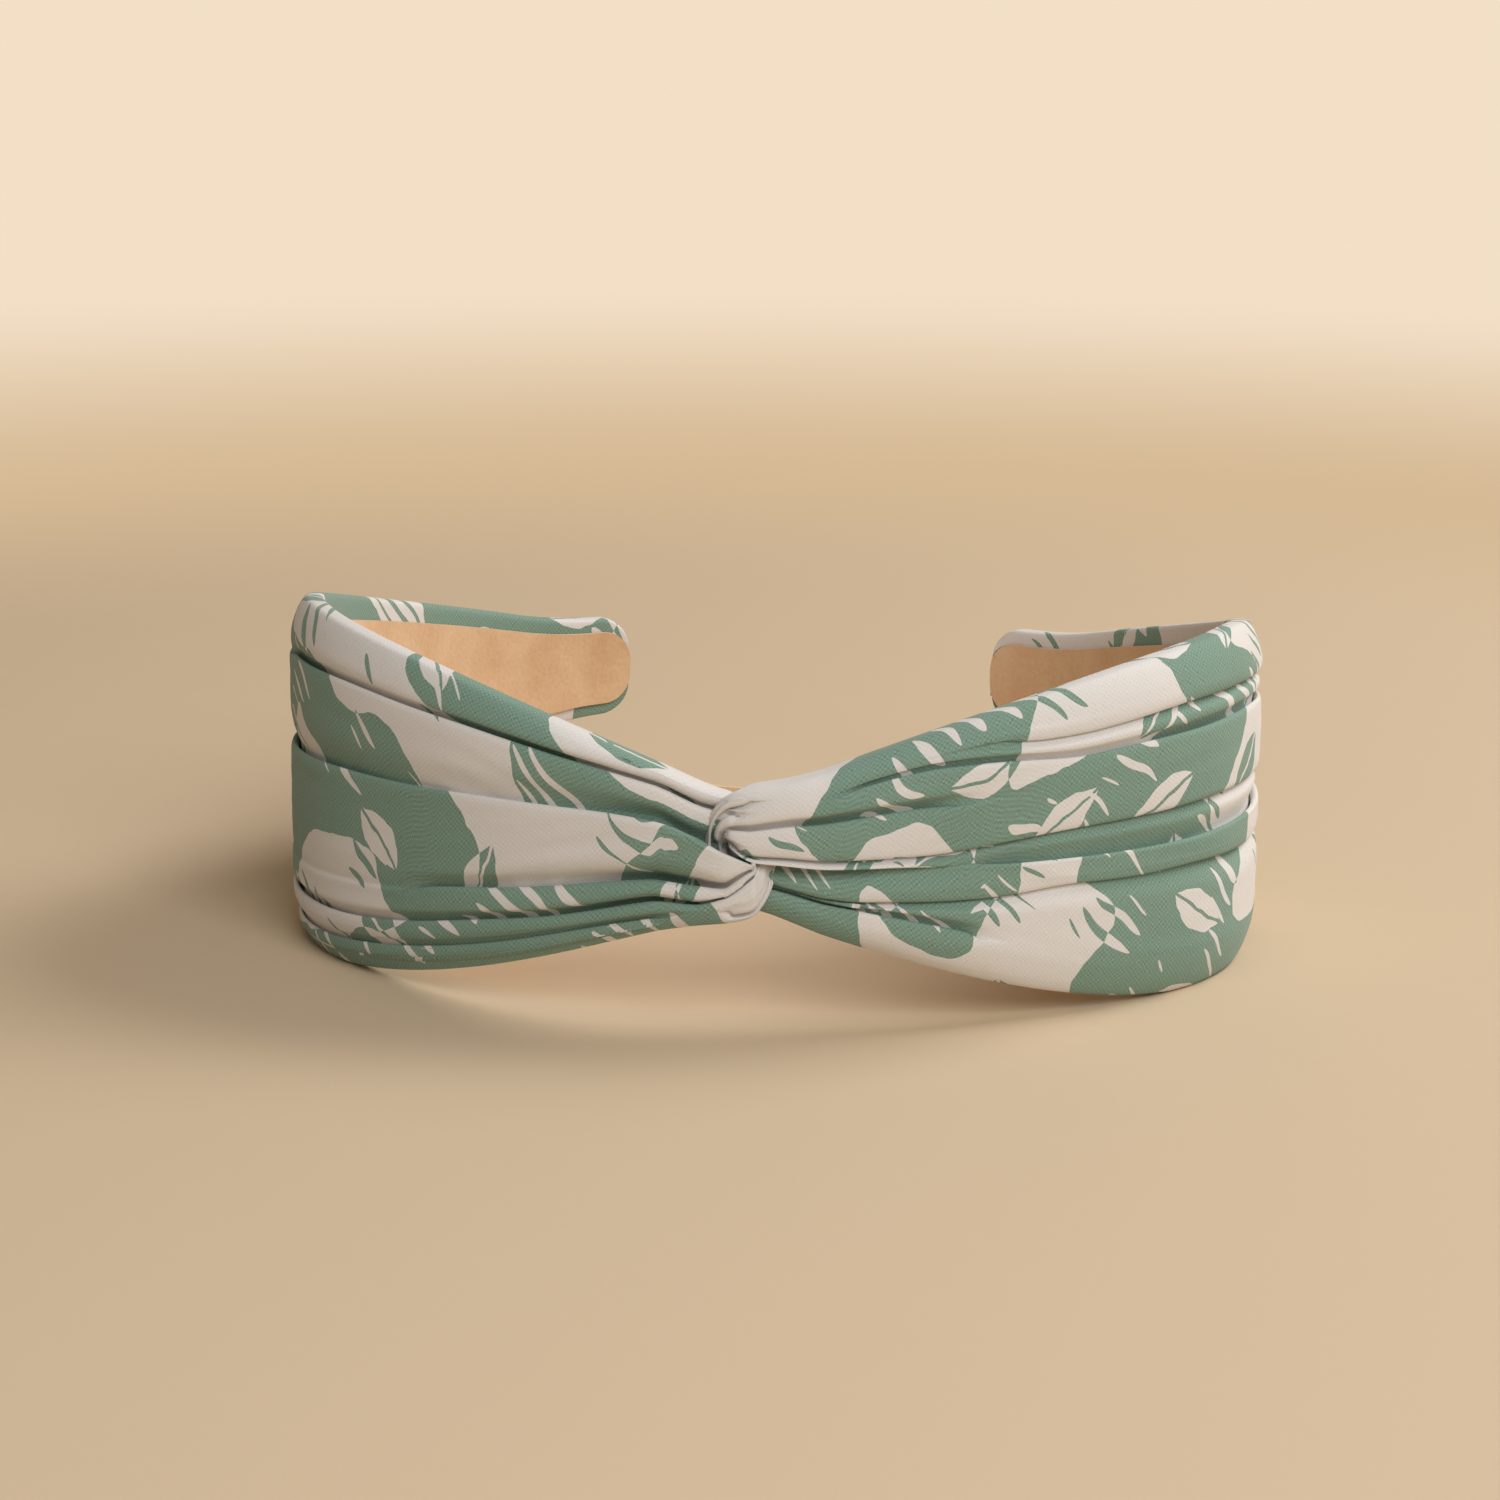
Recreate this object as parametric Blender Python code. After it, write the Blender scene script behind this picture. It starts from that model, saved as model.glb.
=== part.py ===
"""A hard headband with a twist at the crown.

A springy plastic core holds the shape. A suede strip lines it, thin wadding pads it, and two pleated
cloths cover it, one over each side, whose loops hook into each other at the crown. The band stands on
its lower edge, with the twist at -Y, the tips at +Y, X across the band and +Z up.
"""

import bisect
import math

import bmesh
import bpy
from mathutils import Vector

MM = 0.001

# Plan of the band, on the middle surface of the core
CORE_WIDTH = 140.8 * MM
CROWN_DEPTH = 50.2 * MM
TAIL_DEPTH = 76.8 * MM
TIP_GAP = 62.7 * MM

# Height of the covered band, how far along each arm it reaches and keeps its full height, and how long the
# tip keeps its own height
CROWN_HEIGHT = 17.3 * MM
SIDE_HEIGHT = 53.5 * MM
TIP_HEIGHT = 16.4 * MM
RISE_LENGTH = 80.0 * MM
SIDE_LENGTH = 8.0 * MM
TIP_LENGTH = 12.0 * MM
TAIL_POWER = 1.05
TIP_CORNER = 5.0 * MM

# Layers, from the inside out, and the gap between two that lie on each other
LINING_THICKNESS = 0.7 * MM
CORE_THICKNESS = 1.2 * MM
WADDING_THICKNESS = 0.8 * MM
CLOTH_THICKNESS = 0.6 * MM
CLEARANCE = 0.3 * MM

# Share of a strip's thickness that is eased off along each of its edges
EASED_SHARE = 1 / 3

# Edges of the layers, measured in from the covered band's own edge, and the least share of its height that
# the two hems leave open between them
FLAT_CUT = 0.5 * MM
RIM_RISE = 2.0 * MM
HEM_WIDTH = 6.0 * MM
HEM_LEAST_OPENING = 0.25
LINING_MARGIN_CROWN = 0.6 * MM
LINING_MARGIN_SIDE = 4.5 * MM
LINING_MARGIN_TIP = 2.0 * MM
WADDING_MARGIN = 3.0 * MM
WADDING_END = 15.0 * MM
TIP_POCKET = 9.0 * MM

# Pleats: height of the ridges along the arm, and each valley's place across the arm from -1, the lower
# edge, to 1, the upper edge, first at the twist and then from the side to the tip
PLEAT_CROWN = 2.4 * MM
PLEAT_SIDE = 1.3 * MM
PLEAT_TIP = 0.5 * MM
LEFT_VALLEYS = ((-0.70, -0.72), (-0.45, -0.42), (0.27, 0.14), (0.72, 0.69))
RIGHT_VALLEYS = ((-0.68, -0.70), (-0.50, -0.24), (-0.20, -0.10), (0.00, 0.12), (0.84, 0.51))
PLEAT_SHAPE = ((0.0, 0.0), (0.14, 0.75), (0.5, 1.0), (0.86, 0.75))

# Twist: two strands of cloth on each side, which meet in a bight that hooks into the other side's
KNOT_HALF = 12.0 * MM
STRAND_THICKNESS = 3.2 * MM
STRAND_HEIGHT = 7.2 * MM
STRAND_GAP = 0.6 * MM
BIGHT_WIDTH = 5.2 * MM
BIGHT_GAP = 1.0 * MM
BIGHT_SPARE = 0.8 * MM
DIVE_ANGLE = math.radians(50)
STRAND_PLEATS = 4
STRAND_PLEAT_DEPTH = 0.3 * MM
STRAND_SQUARENESS = 2.6

# Fineness of the facets
PLAN_STEPS = 1440
ARM_STATIONS = 23
CROWN_STATIONS = 4
CORNER_SHARES = (0.0, 0.5, 0.8, 0.93)
LEAST_STEP_SHARE = 1 / 3
LEAST_SHOULDER_SHARE = 0.1
RIM_ANGLES = (15, 60, 120, 165)
RUN_STATIONS = 9
BIGHT_STATIONS = 12
STRAND_POINTS = 24
SHARP_ANGLE = math.radians(50)

# Colours as linear values, with the roughness of each material
SAGE = (0.16, 0.28, 0.21)
CLOTH_ROUGHNESS = 0.85
TAN = (0.52, 0.30, 0.15)
SUEDE_ROUGHNESS = 0.95
MILKY = (0.72, 0.70, 0.66)
PLASTIC_ROUGHNESS = 0.45
BATTING = (0.85, 0.83, 0.79)
BATTING_ROUGHNESS = 1.0

LEFT = -1
RIGHT = 1

# Outward distances from the core's middle surface
CORE_FACE = CORE_THICKNESS / 2
HEM_INNER = -(CORE_FACE + CLEARANCE)
HEM_OUTER = HEM_INNER - CLOTH_THICKNESS
LINING_FACE = HEM_OUTER - CLEARANCE
WADDING_INNER = CORE_FACE + CLEARANCE
WADDING_OUTER = WADDING_INNER + WADDING_THICKNESS
COVER_INNER = WADDING_OUTER + CLEARANCE
COVER_EDGE = COVER_INNER + CLOTH_THICKNESS
STRAND_SEAT = CORE_FACE + CLEARANCE
STRAND_LIFT = STRAND_THICKNESS + STRAND_GAP
STRAND_END_THICKNESS = COVER_EDGE + PLEAT_CROWN - STRAND_SEAT

# Height of the band's middle line above the surface that it stands on, where the rim's facets are cut flat
RIM_DIP = RIM_RISE * (1 - math.sin(math.radians(RIM_ANGLES[1])))
MIDDLE_HEIGHT = SIDE_HEIGHT / 2 - RIM_DIP - FLAT_CUT
CORE_INSET = CLOTH_THICKNESS + CLEARANCE + RIM_DIP + FLAT_CUT


def plan_point(turn):
    """Point and outward normal of the core's middle line, at an angle round from the crown."""
    depth = CROWN_DEPTH if turn < math.pi / 2 else TAIL_DEPTH
    point = Vector((CORE_WIDTH / 2 * math.sin(turn), -depth * math.cos(turn)))
    normal = Vector((math.sin(turn) / (CORE_WIDTH / 2), -math.cos(turn) / depth)).normalized()
    return point, normal


LAST_TURN = math.pi - math.asin(TIP_GAP / CORE_WIDTH)
TURNS = [LAST_TURN * step / PLAN_STEPS for step in range(PLAN_STEPS + 1)]
LENGTHS = [0.0]
for turn_before, turn_after in zip(TURNS, TURNS[1:]):
    LENGTHS.append(LENGTHS[-1] + (plan_point(turn_after)[0] - plan_point(turn_before)[0]).length)
ARM_LENGTH = LENGTHS[-1]


def place(along, outward, height):
    """Point at a signed distance along the band, outward of the core and above the band's middle line."""
    distance = min(abs(along), ARM_LENGTH)
    upper = min(max(bisect.bisect_left(LENGTHS, distance), 1), PLAN_STEPS)
    share = (distance - LENGTHS[upper - 1]) / (LENGTHS[upper] - LENGTHS[upper - 1])
    point, normal = plan_point(TURNS[upper - 1] + share * (TURNS[upper] - TURNS[upper - 1]))
    side = LEFT if along < 0 else RIGHT
    x, y = point + normal * outward
    return Vector((side * x, y, max(MIDDLE_HEIGHT + height, 0.0)))


def value_along(distance, crown, side, tip):
    """A size that runs evenly from the crown to the side, stays, and runs evenly to the tip."""
    tail_start = RISE_LENGTH + SIDE_LENGTH
    if distance < RISE_LENGTH:
        return crown + (side - crown) * distance / RISE_LENGTH
    share = max(distance - tail_start, 0.0) / (ARM_LENGTH - tail_start)
    return side + (tip - side) * share


def band_height(distance):
    """Height of the covered band at a distance from the crown, before its tip is rounded."""
    tail_start = RISE_LENGTH + SIDE_LENGTH
    if distance < RISE_LENGTH:
        rise = math.sin(math.pi / 2 * distance / RISE_LENGTH)
        return CROWN_HEIGHT + (SIDE_HEIGHT - CROWN_HEIGHT) * rise
    share = max(distance - tail_start, 0.0) / (ARM_LENGTH - TIP_LENGTH - tail_start)
    return TIP_HEIGHT + (SIDE_HEIGHT - TIP_HEIGHT) * (1 - min(share, 1.0) ** TAIL_POWER)


def half_height(distance, inset, end):
    """Half the height of a layer whose edge lies in from the band's, with a rounded end."""
    half = band_height(distance) / 2 - inset
    past = distance - (end - TIP_CORNER * CORNER_SHARES[-1])
    if past > 0:
        half -= TIP_CORNER - math.sqrt(max(TIP_CORNER ** 2 - past ** 2, 0.0))
    return half


def arm_stations(start, end):
    """Distances from the crown at which a layer of one arm has its sections."""
    first_of_corner = end - TIP_CORNER * CORNER_SHARES[-1]
    step = (ARM_LENGTH - TIP_CORNER - KNOT_HALF) / ARM_STATIONS
    least = step * LEAST_STEP_SHARE
    shared = [KNOT_HALF + step * index for index in range(ARM_STATIONS + 1)]
    kept = [distance for distance in shared if start + least < distance < first_of_corner - least]
    return [start] + kept + [first_of_corner + TIP_CORNER * share for share in CORNER_SHARES]


def make_material(name, colour, roughness):
    """A Principled BSDF with one colour."""
    material = bpy.data.materials.new(name)
    material.use_nodes = True
    shader = material.node_tree.nodes["Principled BSDF"]
    shader.inputs["Base Color"].default_value = (*colour, 1.0)
    shader.inputs["Roughness"].default_value = roughness
    shader.inputs["Metallic"].default_value = 0.0
    return material


def make_object(name, mesh_builder, material, carrier):
    """Turns a filled bmesh into an object, hung on the empty of the band or of the arm that carries it."""
    bmesh.ops.recalc_face_normals(mesh_builder, faces=mesh_builder.faces)
    bmesh.ops.translate(mesh_builder, verts=mesh_builder.verts, vec=-carrier.location)
    mesh = bpy.data.meshes.new(name)
    mesh_builder.to_mesh(mesh)
    mesh_builder.free()
    mesh.shade_smooth()
    mesh.set_sharp_from_angle(angle=SHARP_ANGLE)
    mesh.materials.append(material)
    piece = bpy.data.objects.new(name, mesh)
    bpy.context.scene.collection.objects.link(piece)
    piece.parent = carrier
    return piece


def bridge(mesh_builder, before, after, closed):
    """Quads between two rows of vertices."""
    count = len(before)
    for index in range(count if closed else count - 1):
        following = (index + 1) % count
        mesh_builder.faces.new((before[index], before[following], after[following], after[index]))


def distance_between(one, other):
    return (one.co - other.co).length


def rise_between(one, other):
    return abs(one.co.z - other.co.z)


def fill_between(mesh_builder, one, other, span=distance_between):
    """Triangles between two rows of unlike length that start and end side by side."""
    i = j = 0
    while i < len(one) - 1 or j < len(other) - 1:
        step_one = span(one[i + 1], other[j]) if i < len(one) - 1 else math.inf
        step_other = span(other[j + 1], one[i]) if j < len(other) - 1 else math.inf
        if step_one < step_other:
            mesh_builder.faces.new((one[i], one[i + 1], other[j]))
            i += 1
        else:
            mesh_builder.faces.new((one[i], other[j + 1], other[j]))
            j += 1


def loft(rings):
    """Closed solid through rings of points, with flat ends."""
    mesh_builder = bmesh.new()
    rows = [[mesh_builder.verts.new(point) for point in ring] for ring in rings]
    for before, after in zip(rows, rows[1:]):
        bridge(mesh_builder, before, after, True)
    mesh_builder.faces.new(rows[0])
    mesh_builder.faces.new(rows[-1])
    return mesh_builder


def strip_ring(along, inner, outer, half):
    """Section of a flat strip with eased edges."""
    eased = (outer - inner) * EASED_SHARE
    corners = (
        (inner, half - eased), (inner + eased, half), (outer - eased, half), (outer, half - eased),
        (outer, eased - half), (outer - eased, -half), (inner + eased, -half), (inner, eased - half),
    )
    return [place(along, outward, height) for outward, height in corners]


def whole_strip(inner, outer, inset_at, end):
    """A strip from the left tip over the crown to the right tip."""
    arm = arm_stations(KNOT_HALF, end)
    crown = [KNOT_HALF * index / CROWN_STATIONS for index in range(CROWN_STATIONS)]
    right = crown + arm
    line = [-distance for distance in reversed(right[1:])] + right
    return loft([
        strip_ring(along, inner, outer, half_height(abs(along), inset_at(abs(along)), end)) for along in line
    ])


# Core: one springy strip, from tip to tip
def make_core(band):
    end = ARM_LENGTH - CLOTH_THICKNESS - CLEARANCE
    solid = whole_strip(-CORE_FACE, CORE_FACE, lambda distance: CORE_INSET, end)
    return make_object("core_band", solid, make_material("springy_plastic", MILKY, PLASTIC_ROUGHNESS), band)


# Lining: one strip of suede on the inside, over the turned-in hems
def make_lining(band):
    def margin(distance):
        return value_along(distance, LINING_MARGIN_CROWN, LINING_MARGIN_SIDE, LINING_MARGIN_TIP)

    solid = whole_strip(LINING_FACE - LINING_THICKNESS, LINING_FACE, margin, ARM_LENGTH)
    return make_object("lining", solid, make_material("tan_suede", TAN, SUEDE_ROUGHNESS), band)


# Wadding: a thin soft layer between the core and the cloth
def make_wadding(name, side, arm):
    inset = CORE_INSET + WADDING_MARGIN
    end = ARM_LENGTH - WADDING_END
    rings = [
        strip_ring(side * distance, WADDING_INNER, WADDING_OUTER, half_height(distance, inset, end))
        for distance in arm_stations(KNOT_HALF + CLEARANCE, end)
    ]
    batting = make_material(name + "_batting", BATTING, BATTING_ROUGHNESS)
    return make_object(name, loft(rings), batting, arm)


def rim_points(edge):
    """The cloth's turn over the core's upper edge, from the outside to the inside."""
    middle = (COVER_EDGE + HEM_OUTER) / 2
    reach = (COVER_EDGE - HEM_OUTER) / 2
    for angle in map(math.radians, RIM_ANGLES):
        yield middle + reach * math.cos(angle), edge - RIM_RISE * (1 - math.sin(angle))


def valley_heights(distance, valleys):
    """Heights of the valleys between the pleats, from the lowest up."""
    face = half_height(distance, 0.0, ARM_LENGTH) - RIM_RISE
    return [face * value_along(distance, crown, side, side) for crown, side in valleys]


def pleat_points(distance, valleys):
    """The pleated outside, from the lower rim to the upper one."""
    depth = value_along(distance, PLEAT_CROWN, PLEAT_SIDE, PLEAT_TIP)
    face = half_height(distance, 0.0, ARM_LENGTH) - RIM_RISE
    heights = [-face] + valley_heights(distance, valleys) + [face]
    for low, high in zip(heights, heights[1:]):
        for share, rise in PLEAT_SHAPE:
            yield COVER_EDGE + depth * rise, low + (high - low) * share
    yield COVER_EDGE, face


def cover_section(distance, valleys):
    """Outer and inner line of the cloth's section, both open towards the inside of the band."""
    edge = half_height(distance, 0.0, ARM_LENGTH)
    upper = list(rim_points(edge))
    lower = [(outward, -height) for outward, height in reversed(upper)]
    hem = max(edge - HEM_WIDTH, edge * HEM_LEAST_OPENING)
    outside = [(HEM_OUTER, -hem)] + lower + list(pleat_points(distance, valleys)) + upper
    outside.append((HEM_OUTER, hem))
    top = edge - CORE_INSET + CLEARANCE
    shoulder = top - WADDING_MARGIN
    upper_inside = [(HEM_INNER, hem), (HEM_INNER, top), (-HEM_INNER, top), (COVER_INNER, shoulder)]
    inside = upper_inside + [(outward, -height) for outward, height in reversed(upper_inside)]
    return outside, inside


# Covers: the pleated cloth of each side, turned over the core's edges and closed over its tip
def make_cover(name, side, valleys, arm):
    mesh_builder = bmesh.new()
    pocket_start = ARM_LENGTH - TIP_POCKET
    pocket_floor = ARM_LENGTH - CLOTH_THICKNESS
    stations = sorted(arm_stations(KNOT_HALF + CLEARANCE, ARM_LENGTH) + [pocket_start])
    outside_rows = []
    inside_rows = []
    for distance in stations:
        outside, _ = cover_section(distance, valleys)
        inner_distance = min(distance, pocket_floor)
        _, inside = cover_section(inner_distance, valleys)
        if distance == stations[0]:
            middle = len(inside) // 2
            widest = inside[middle - 1][1] * (1 - LEAST_SHOULDER_SHARE)
            behind = [height for height in valley_heights(distance, valleys) if abs(height) < widest]
            inside[middle:middle] = [(COVER_INNER, height) for height in reversed(behind)]
        outside_rows.append([mesh_builder.verts.new(place(side * distance, *point)) for point in outside])
        inner_along = side * inner_distance
        inside_rows.append([mesh_builder.verts.new(place(inner_along, *point)) for point in inside])
    pocket = stations.index(pocket_start)
    for index in range(len(stations) - 1):
        out_before, out_after = outside_rows[index], outside_rows[index + 1]
        in_before, in_after = inside_rows[index], inside_rows[index + 1]
        bridge(mesh_builder, out_before, out_after, False)
        fill_between(mesh_builder, in_before, in_after)
        if index < pocket:
            bridge(mesh_builder, [out_before[-1], in_before[0]], [out_after[-1], in_after[0]], False)
            bridge(mesh_builder, [in_before[-1], out_before[0]], [in_after[-1], out_after[0]], False)
        else:
            bridge(mesh_builder, [out_before[-1], out_before[0]], [out_after[-1], out_after[0]], False)
            bridge(mesh_builder, [in_before[-1], in_before[0]], [in_after[-1], in_after[0]], False)
    mouth_out, mouth_in = outside_rows[pocket], inside_rows[pocket]
    mesh_builder.faces.new((mouth_out[0], mouth_out[-1], mouth_in[0], mouth_in[-1]))
    fill_between(mesh_builder, outside_rows[0], inside_rows[0][::-1])
    floor = inside_rows[-1]
    bridge(mesh_builder, [floor[1], floor[0], floor[-1], floor[-2]], floor[2:-2], False)
    tip = outside_rows[-1]
    turn = 1 + len(RIM_ANGLES) // 2
    fill_between(mesh_builder, tip[turn:-turn], tip[turn - 1::-1] + tip[:-turn - 1:-1], rise_between)
    return make_object(name, mesh_builder, make_material(name + "_cloth", SAGE, CLOTH_ROUGHNESS), arm)


def ease(share):
    """Smooth step from 0 to 1."""
    share = min(max(share, 0.0), 1.0)
    return share * share * (3 - 2 * share)


def loop_line():
    """Left loop, in at the lower front and out at the upper back: centre, half width and thickness."""
    middle = (STRAND_THICKNESS + STRAND_HEIGHT) / 2 + BIGHT_SPARE
    end_height = (band_height(KNOT_HALF) - STRAND_GAP) / 2 - CLOTH_THICKNESS
    end = (STRAND_GAP + end_height) / 2
    reach = (BIGHT_WIDTH + BIGHT_GAP) / 2
    lift_run = KNOT_HALF - reach - BIGHT_WIDTH / 2
    run = []
    for index in range(RUN_STATIONS):
        share = 1 - index / RUN_STATIONS
        height = middle + (end - middle) * share
        half = (STRAND_HEIGHT + (end_height - STRAND_HEIGHT) * share) / 2
        thickness = STRAND_THICKNESS + (STRAND_END_THICKNESS - STRAND_THICKNESS) * ease(2 * share - 1)
        run.append((-KNOT_HALF * share, height, half, thickness))
    for along, height, half, thickness in run:
        outward = STRAND_SEAT + thickness / 2 + STRAND_LIFT * ease((along + KNOT_HALF) / lift_run)
        yield Vector((along, outward, -height)), half, thickness
    for index in range(BIGHT_STATIONS + 1):
        angle = math.pi * (index / BIGHT_STATIONS - 0.5)
        outward = STRAND_SEAT + STRAND_THICKNESS / 2 + STRAND_LIFT * ease((1 - angle / DIVE_ANGLE) / 2)
        half = (BIGHT_WIDTH + (STRAND_HEIGHT - BIGHT_WIDTH) * math.sin(angle) ** 2) / 2
        yield Vector((reach * math.cos(angle), outward, middle * math.sin(angle))), half, STRAND_THICKNESS
    for along, height, half, thickness in reversed(run):
        yield Vector((along, STRAND_SEAT + thickness / 2, height)), half, thickness


def rounded(value):
    """Flattens a circle's sine or cosine towards a square."""
    return math.copysign(abs(value) ** (2 / STRAND_SQUARENESS), value)


def strand_ring(centre, direction, half, thickness):
    """Points of a flat section square to the strand's direction, with shallow pleats along it."""
    outward = Vector((0, 1, 0))
    thick = (outward - direction * outward.dot(direction)).normalized()
    wide = direction.cross(thick)
    ring = []
    for index in range(STRAND_POINTS):
        angle = 2 * math.pi * index / STRAND_POINTS
        across = rounded(math.cos(angle))
        pleat = STRAND_PLEAT_DEPTH * (1 + math.cos(math.pi * STRAND_PLEATS * across)) / 2
        depth = (thickness / 2 - pleat) * rounded(math.sin(angle))
        ring.append(centre + wide * (half * across) + thick * depth)
    return ring


# Loops: the two halves of the twist; the right one is the left one turned half round
def make_loop(name, side, band):
    line = list(loop_line())
    last = len(line) - 1
    rings = []
    for index, (centre, half, thickness) in enumerate(line):
        direction = (line[min(index + 1, last)][0] - line[max(index - 1, 0)][0]).normalized()
        if index in (0, last):
            direction = Vector((1 if index == 0 else -1, 0, 0))
        ring = strand_ring(centre, direction, half, thickness)
        rings.append([place(-side * point.x, point.y, -side * point.z) for point in ring])
    return make_object(name, loft(rings), make_material(name + "_cloth", SAGE, CLOTH_ROUGHNESS), band)


def make_carrier(name, location, parent=None):
    """Empty that carries pieces."""
    carrier = bpy.data.objects.new(name, None)
    carrier.location = location
    carrier.parent = parent
    bpy.context.scene.collection.objects.link(carrier)
    return carrier


def make_arm(name, side, band):
    """Empty on the upright line about which an arm springs out, at the front of its cloth's inner end."""
    return make_carrier(name, place(side * (KNOT_HALF + CLEARANCE), COVER_EDGE + PLEAT_CROWN, 0.0), band)


def centre_depth(band, pieces):
    """Moves the whole band along Y, so that the origin lies at the middle of its depth."""
    bpy.context.view_layer.update()
    depths = [(piece.matrix_world @ vertex.co).y for piece in pieces for vertex in piece.data.vertices]
    band.location.y = -(min(depths) + max(depths)) / 2


for old in list(bpy.data.objects):
    bpy.data.objects.remove(old)

headband = make_carrier("headband", (0, 0, 0))
left_arm = make_arm("left_arm", LEFT, headband)
right_arm = make_arm("right_arm", RIGHT, headband)
centre_depth(headband, [
    make_core(headband),
    make_lining(headband),
    make_wadding("left_wadding", LEFT, left_arm),
    make_wadding("right_wadding", RIGHT, right_arm),
    make_cover("left_cover", LEFT, LEFT_VALLEYS, left_arm),
    make_cover("right_cover", RIGHT, RIGHT_VALLEYS, right_arm),
    make_loop("left_loop", LEFT, headband),
    make_loop("right_loop", RIGHT, headband),
])
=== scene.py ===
"""Looks of a hard headband with an interlocked twist of printed cloth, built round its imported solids."""
import math

import bmesh
import bpy
import numpy as np
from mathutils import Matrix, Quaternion, Vector, noise


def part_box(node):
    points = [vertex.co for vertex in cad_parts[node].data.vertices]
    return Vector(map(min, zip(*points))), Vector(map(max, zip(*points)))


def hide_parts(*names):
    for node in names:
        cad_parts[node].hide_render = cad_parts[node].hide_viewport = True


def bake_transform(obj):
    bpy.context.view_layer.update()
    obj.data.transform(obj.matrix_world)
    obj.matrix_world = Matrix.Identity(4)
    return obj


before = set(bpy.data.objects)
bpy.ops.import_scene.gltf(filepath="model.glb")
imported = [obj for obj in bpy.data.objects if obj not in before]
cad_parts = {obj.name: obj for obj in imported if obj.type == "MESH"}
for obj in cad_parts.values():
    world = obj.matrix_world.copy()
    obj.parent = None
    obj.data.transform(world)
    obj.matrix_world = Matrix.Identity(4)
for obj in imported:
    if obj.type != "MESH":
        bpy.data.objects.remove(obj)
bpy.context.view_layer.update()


# Core strip
# The springy strip that gives the band its shape: polypropylene, cut from sheet and bent warm over a former.
# Cloth and lining hide it. It is made in two halves that meet at the crown.
MM = 0.001
LEFT = -1
RIGHT = 1
SIDE_NAMES = {LEFT: "left", RIGHT: "right"}
CORE_WIDTH = 140.8
CROWN_DEPTH = 50.2
TAIL_DEPTH = 76.8
TIP_GAP = 62.7
CORE_THICKNESS = 1.2
CORE_INSET = 1.7
CORE_CROWN_INSET = 3.2
CORE_NECK_LENGTH = 25.0
CORE_EASED_EDGE = 0.3
CORE_TIP_GAP = 1.0
CROWN_HEIGHT = 17.3
SIDE_HEIGHT = 53.5
TIP_HEIGHT = 16.4
RISE_LENGTH = 80.0
SIDE_LENGTH = 8.0
TIP_LENGTH = 12.0
TAIL_POWER = 1.05
TIP_CORNER = 5.0
CORNER_POINTS = 8
SOFTENED = (-7.0, -3.5, 0.0, 3.5, 7.0)
PLAN_STEPS = 1440
STRIP_STEP = 2.0
STRIP_END_STEP = 0.1
STRIP_ROWS = 9
LEAST_ALONG = 0.001
GRID_HALF = 0.5
EDGE_SEGMENTS = 2
BEND_START = 5.0
BEND_END = 26.0
FLOW_LINE_LENGTH = 40.0
FLOW_LINE_WIDTH = 1.5
FLOW_LINE_DEPTH = 0.05
CORE_MILK = "#e6e3da"
CORE_SHADE = "#d8d4c8"

core_low, core_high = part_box("core_band")
MIDDLE_HEIGHT = (core_low.z + core_high.z) / 2 / MM
CROWN_FRONT = core_low.y / MM + CORE_THICKNESS / 2
BAND_SHIFT = CROWN_FRONT + CROWN_DEPTH
TURNS = np.linspace(0.0, math.pi - math.asin(TIP_GAP / CORE_WIDTH), PLAN_STEPS + 1)


def plan_depth(turn):
    """The band's plan is half an ellipse in front of its widest line and a longer one behind it."""
    return np.where(turn < math.pi / 2, CROWN_DEPTH, TAIL_DEPTH)


PLAN = np.stack([CORE_WIDTH / 2 * np.sin(TURNS), -plan_depth(TURNS) * np.cos(TURNS)], axis=1)
LENGTHS = np.concatenate([[0.0], np.cumsum(np.linalg.norm(np.diff(PLAN, axis=0), axis=1))])
ARM_LENGTH = LENGTHS[-1]


def place(along, outward, height):
    """Points in metres, from millimetres along the band, out from the core and up from its middle."""
    along, outward, height = np.broadcast_arrays(along, outward, height)
    turn = np.interp(np.abs(along), LENGTHS, TURNS)
    depth = plan_depth(turn)
    normal = np.stack([np.sin(turn) / (CORE_WIDTH / 2), -np.cos(turn) / depth])
    normal = normal / np.linalg.norm(normal, axis=0)
    x = np.sign(along) * (CORE_WIDTH / 2 * np.sin(turn) + normal[0] * outward)
    y = BAND_SHIFT - depth * np.cos(turn) + normal[1] * outward
    z = np.maximum(MIDDLE_HEIGHT + height, 0.0)
    return np.stack([x, y, z], axis=-1) * MM


def full_half(along):
    """Half the height of the covered band at a distance from the crown, with its bends drawn out softly."""
    halves = []
    for offset in SOFTENED:
        distance = np.abs(np.abs(along) + offset)
        rise = np.sin(math.pi / 2 * np.clip(distance / RISE_LENGTH, 0.0, 1.0))
        tail = ARM_LENGTH - TIP_LENGTH - RISE_LENGTH - SIDE_LENGTH
        fall = np.clip((distance - RISE_LENGTH - SIDE_LENGTH) / tail, 0.0, 1.0)
        front = CROWN_HEIGHT + (SIDE_HEIGHT - CROWN_HEIGHT) * rise
        halves.append((front - (SIDE_HEIGHT - TIP_HEIGHT) * fall ** TAIL_POWER) / 2)
    return np.mean(halves, axis=0)


def corner_loss(along, end):
    """Height that a rounded corner takes away near the end of a strip."""
    past = np.clip(np.abs(along) - end + TIP_CORNER, 0.0, TIP_CORNER)
    return TIP_CORNER - np.sqrt(TIP_CORNER ** 2 - past ** 2)


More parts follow.
